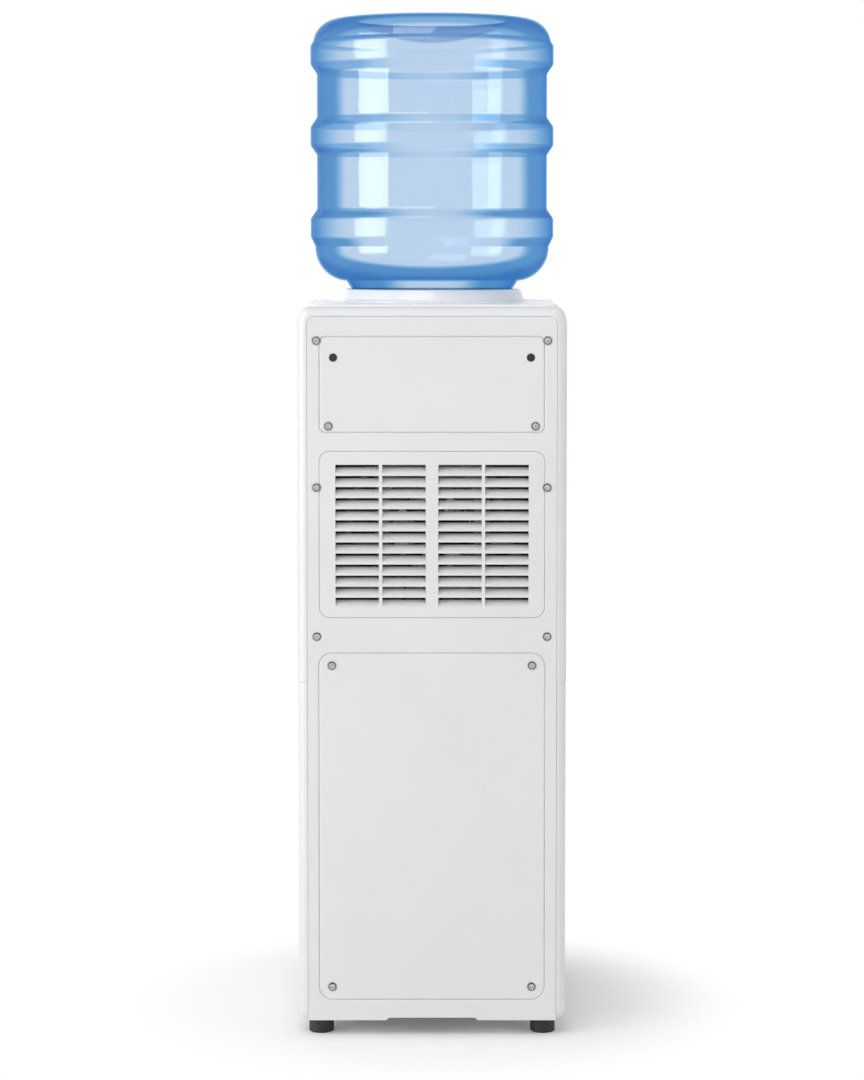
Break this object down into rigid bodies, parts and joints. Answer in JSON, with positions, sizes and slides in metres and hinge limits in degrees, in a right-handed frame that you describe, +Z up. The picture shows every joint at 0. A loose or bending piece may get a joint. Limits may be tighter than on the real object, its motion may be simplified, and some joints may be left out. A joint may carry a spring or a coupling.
{
  "type": "water dispenser",
  "caption": "Top-loading water dispenser: a white plastic cabinet with a louvred, screwed back panel, an upturned bottle in a collar on top, and a front recess with lever taps and a drip tray.",
  "frame": {"origin": "on the floor, under the middle of the cabinet", "axes": "+Z up; the front with the taps faces -Y, the louvred back faces +Y"},
  "size_m": [0.29, 0.3214, 1.1086],
  "materials": {
    "cabinet_plastic": "satin",
    "lid_plastic": "glossy",
    "bottle_plastic": "clear blue, lightly stippled",
    "cap_plastic": "satin",
    "black_rubber": "matt",
    "black_plastic": "satin",
    "food_plastic": "satin",
    "screw_steel": "zinc plated",
    "tank_steel": "drawn",
    "sheet_steel": "galvanised",
    "foam": "expanded foam",
    "aluminium": "extruded",
    "ceramic": "ceramic",
    "silicone": "translucent silicone",
    "board_green": "solder resist",
    "component_black": "moulded",
    "lead_black": "insulated wire",
    "lamp_clear": "clear lens",
    "hot_red": "glossy",
    "cold_blue": "glossy",
    "tap_white": "glossy",
    "grey_plastic": "satin"
  },
  "bodies": {
    "cabinet": {"upper_housing": "cabinet_plastic", "lower_housing": "cabinet_plastic", "rear_panel": "cabinet_plastic", "upper_rear_cover": "cabinet_plastic", "vent_grille": "cabinet_plastic", "lower_rear_cover": "cabinet_plastic", "hole_plugs": "black_plastic", "rear_screws": "screw_steel", "top_cover": "lid_plastic", "bottle_collar": "lid_plastic", "bottle_funnel": "food_plastic", "feed_spike": "food_plastic", "base_plate": "sheet_steel", "rubber_feet": "black_rubber", "foot_screws": "screw_steel", "cord_gland": "black_plastic", "cold_tank": "tank_steel", "cold_tank_lid": "food_plastic", "baffle_disc": "food_plastic", "cold_tank_insulation": "foam", "tank_shelf": "sheet_steel", "cold_block": "aluminium", "peltier_module": "ceramic", "heat_sink": "aluminium", "sink_screws": "screw_steel", "fan_frame": "black_plastic", "fan_screws": "screw_steel", "hot_tank": "tank_steel", "hot_tank_insulation": "foam", "hot_tank_bracket": "sheet_steel", "heating_element": "tank_steel", "thermostats": "component_black", "hot_feed_tube": "silicone", "cold_water_tube": "silicone", "hot_water_tube": "silicone", "power_board": "board_green", "board_components": "component_black", "internal_leads": "lead_black", "control_panel": "grey_plastic", "indicator_lamps": "lamp_clear", "switch_bodies": "black_plastic", "alcove_liner": "grey_plastic", "tap_bodies": "tap_white", "tap_bonnets": "tap_white", "tap_nuts": "black_plastic", "tap_pins": "screw_steel", "hot_tap_spring": "screw_steel", "cold_tap_spring": "screw_steel"},
    "bottle": {"water_bottle": "bottle_plastic", "bottle_cap": "cap_plastic"},
    "hot_lever": {"hot_tap_lever": "hot_red"},
    "hot_lock": {"hot_tap_lock": "tap_white"},
    "hot_stem": {"hot_tap_stem": "grey_plastic"},
    "cold_lever": {"cold_tap_lever": "cold_blue"},
    "cold_stem": {"cold_tap_stem": "grey_plastic"},
    "tray": {"drip_tray": "grey_plastic"},
    "tray_grille": {"drip_grille": "black_plastic"},
    "fan": {"fan_rotor": "black_plastic"},
    "hot_rocker": {"hot_switch_rocker": "hot_red"},
    "cold_rocker": {"cold_switch_rocker": "cold_blue"}
  },
  "joints": [
    {"name": "bottle_lift", "type": "slide", "parent": "cabinet", "child": "bottle", "axis": [0, 0, 1], "range_m": [0, 0.12]},
    {"name": "hot_lever_hinge", "type": "hinge", "parent": "cabinet", "child": "hot_lever", "pos_m": [-0.06, -0.119, 0.65], "axis": [1, 0, 0], "range_deg": [0, 25], "stiffness_Nm_per_rad": 0.05, "springref_deg": -17.19},
    {"name": "cold_lever_hinge", "type": "hinge", "parent": "cabinet", "child": "cold_lever", "pos_m": [0.06, -0.119, 0.65], "axis": [1, 0, 0], "range_deg": [0, 25], "stiffness_Nm_per_rad": 0.05, "springref_deg": -17.19},
    {"name": "hot_stem_slide", "type": "slide", "parent": "cabinet", "child": "hot_stem", "axis": [0, 0, 1], "range_m": [0, 0.0028], "deforming": ["hot_tap_spring"]},
    {"name": "cold_stem_slide", "type": "slide", "parent": "cabinet", "child": "cold_stem", "axis": [0, 0, 1], "range_m": [0, 0.0028], "deforming": ["cold_tap_spring"]},
    {"name": "hot_lock_slide", "type": "slide", "parent": "hot_lever", "child": "hot_lock", "axis": [0, -1, 0], "range_m": [0, 0.003], "stiffness_N_per_m": 60, "springref_m": -0.002},
    {"name": "drip_tray_slide", "type": "slide", "parent": "cabinet", "child": "tray", "axis": [0, -1, 0], "range_m": [0, 0.1]},
    {"name": "drip_grille_lift", "type": "slide", "parent": "tray", "child": "tray_grille", "axis": [0, 0, 1], "range_m": [0, 0.06]},
    {"name": "fan_spin", "type": "hinge", "parent": "cabinet", "child": "fan", "pos_m": [0, 0.13, 0.5469], "axis": [0, 1, 0], "continuous": true},
    {"name": "hot_rocker_hinge", "type": "hinge", "parent": "cabinet", "child": "hot_rocker", "pos_m": [-0.06, -0.1546, 0.748], "axis": [1, 0, 0], "range_deg": [0, 16]},
    {"name": "cold_rocker_hinge", "type": "hinge", "parent": "cabinet", "child": "cold_rocker", "pos_m": [0.06, -0.1546, 0.748], "axis": [1, 0, 0], "range_deg": [0, 16]}
  ],
  "couplings": [
    {"joint": "hot_stem_slide", "follows": "hot_lever_hinge", "m_per_rad": 0.0063},
    {"joint": "cold_stem_slide", "follows": "cold_lever_hinge", "m_per_rad": 0.0063}
  ]
}
